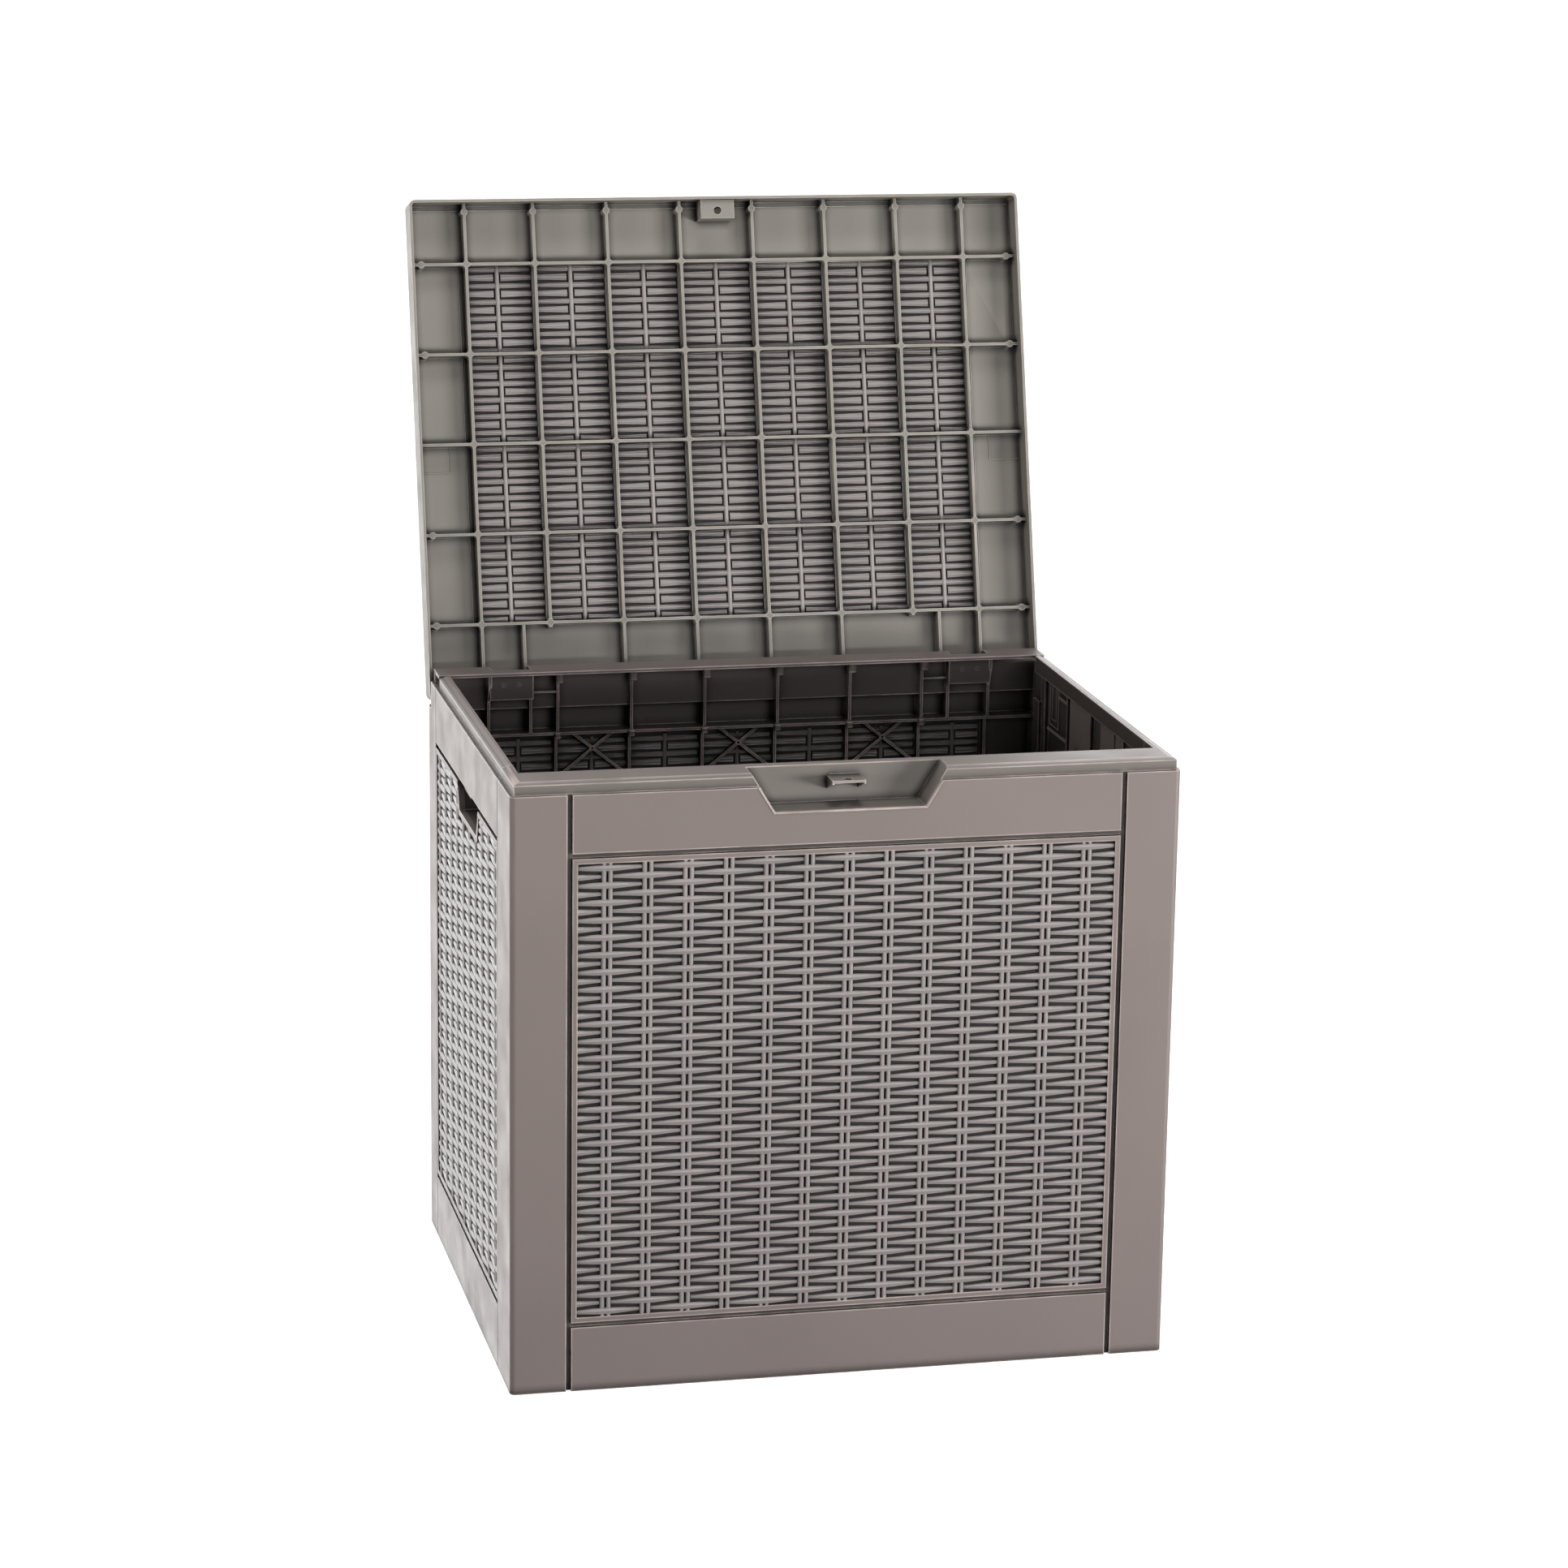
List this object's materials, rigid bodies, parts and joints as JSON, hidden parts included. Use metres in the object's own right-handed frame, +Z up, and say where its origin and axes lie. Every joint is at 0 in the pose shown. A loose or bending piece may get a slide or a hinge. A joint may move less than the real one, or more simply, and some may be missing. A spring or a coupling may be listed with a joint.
{
  "type": "deck storage box",
  "caption": "Outdoor resin storage box with woven-look panels, smooth corner posts, side finger pockets, a front latch recess and a rear-hinged lid, shown open.",
  "frame": {"origin": "middle of the body's footprint, on the ground, at the underside of the floor panel's centre pad", "axes": "+Z up, -Y out of the front face with the latch recess, +X to the right seen from the front; the lid is open at rest"},
  "size_m": [0.56, 0.574, 0.9199],
  "materials": {
    "resin": "warm grey moulded resin, satin",
    "steel": "zinc plated steel"
  },
  "bodies": {
    "box": {"front_panel": "resin", "back_panel": "resin", "left_side_panel": "resin", "right_side_panel": "resin", "floor_panel": "resin", "lock_eye": "resin", "hinge_bracket_left": "resin", "hinge_bracket_right": "resin", "hinge_pin_left": "steel", "hinge_pin_right": "steel", "bracket_screw_left_1": "steel", "bracket_screw_left_2": "steel", "bracket_screw_right_1": "steel", "bracket_screw_right_2": "steel"},
    "lid": {"lid": "resin", "lock_tab": "resin", "hinge_leaf_left": "resin", "hinge_leaf_right": "resin", "leaf_screw_left_1": "steel", "leaf_screw_left_2": "steel", "leaf_screw_right_1": "steel", "leaf_screw_right_2": "steel"}
  },
  "joints": [
    {"name": "lid_hinge", "type": "hinge", "parent": "box", "child": "lid", "pos_m": [0, 0.2087, 0.5053], "axis": [1, 0, 0], "range_deg": [0, 105.3]}
  ]
}
